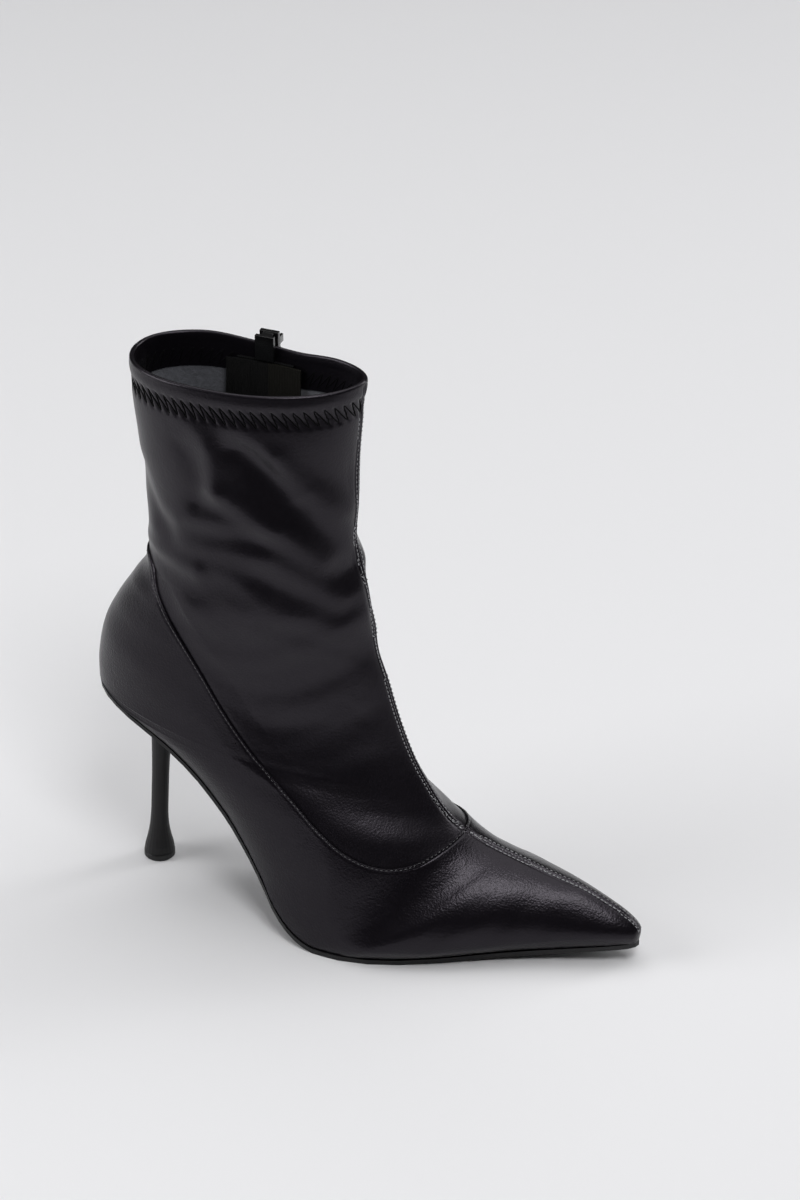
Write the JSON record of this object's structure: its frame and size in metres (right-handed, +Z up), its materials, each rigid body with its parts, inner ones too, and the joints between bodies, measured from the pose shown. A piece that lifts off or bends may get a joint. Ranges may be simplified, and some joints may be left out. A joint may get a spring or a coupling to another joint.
{
  "type": "ankle boot",
  "caption": "Pointed black ankle boot on a slender high heel, right shoe, with a zip and pull tab on the inner side.",
  "frame": {"origin": "middle of the whole shoe's plan, on the floor", "axes": "+X to the toe, +Y to the medial side (the wearer's left, where the zip is), +Z up"},
  "size_m": [0.2422, 0.0832, 0.2521],
  "materials": {
    "upper": "satin black faux leather, fine grain",
    "outsole": "matte black",
    "insole": "dark grey board under fleece",
    "heel": "matte black",
    "heel_tip": "black rubber",
    "tape": "black woven tape",
    "guard": "brownish black, smooth",
    "teeth": "black coil",
    "hardware": "dark enamelled metal"
  },
  "bodies": {
    "boot": {"upper": "upper", "outsole": "outsole", "insole": "insole", "heel": "heel", "heel_tip": "heel_tip", "zip_tape": "tape", "zip_guard": "guard", "zip_teeth": "teeth", "zip_slider": "hardware"},
    "pull": {"zip_pull": "hardware"}
  },
  "joints": [
    {"name": "pull_hinge", "type": "hinge", "parent": "boot", "child": "pull", "pos_m": [-0.05398, 0.03463, 0.2476], "axis": [1, 0, 0], "range_deg": [0, 150]}
  ]
}
